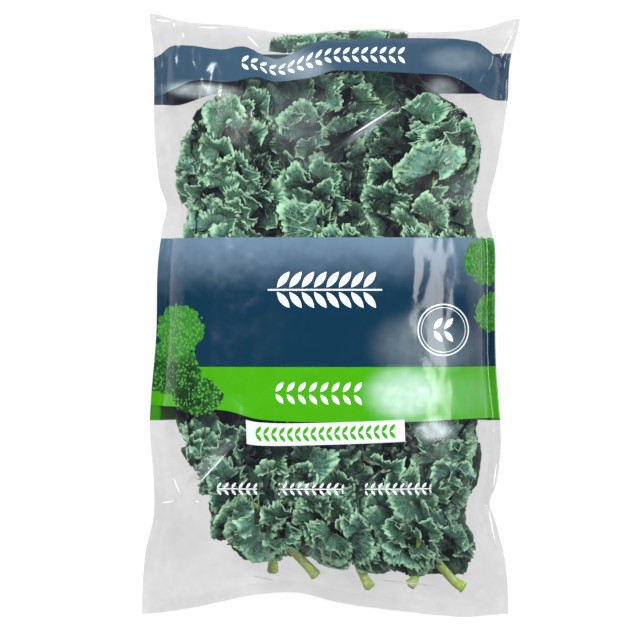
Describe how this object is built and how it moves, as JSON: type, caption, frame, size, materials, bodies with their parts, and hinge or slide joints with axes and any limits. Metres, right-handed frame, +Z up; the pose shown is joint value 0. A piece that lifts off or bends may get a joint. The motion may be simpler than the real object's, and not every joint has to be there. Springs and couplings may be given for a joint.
{
  "type": "bagged kale bunch",
  "caption": "Bunch of curly kale leaves with frilled edges and short stalks, lying in a clear film bag with plain printed bands.",
  "frame": {"origin": "centre of the bag's box, on the plane that its back lies on", "axes": "+X across the bag to the right as its printed front is seen, +Y along it towards its open mouth, +Z up out of the printed front"},
  "size_m": [0.2492, 0.3976, 0.0684],
  "materials": {
    "film": "clear glossy film, printed with dark blue and green bands",
    "leaf": "waxy blue-green leaf with paler frilled margin and pale green midrib"
  },
  "bodies": {
    "root": {"film_bag": "film", "leaf_front_top_left": "leaf", "leaf_front_top_middle": "leaf", "leaf_front_top_right": "leaf", "leaf_front_low_left": "leaf", "leaf_front_low_middle": "leaf", "leaf_front_low_right": "leaf", "leaf_back_top_left": "leaf", "leaf_back_top_right": "leaf", "leaf_back_low_left": "leaf", "leaf_back_low_right": "leaf"}
  },
  "joints": []
}
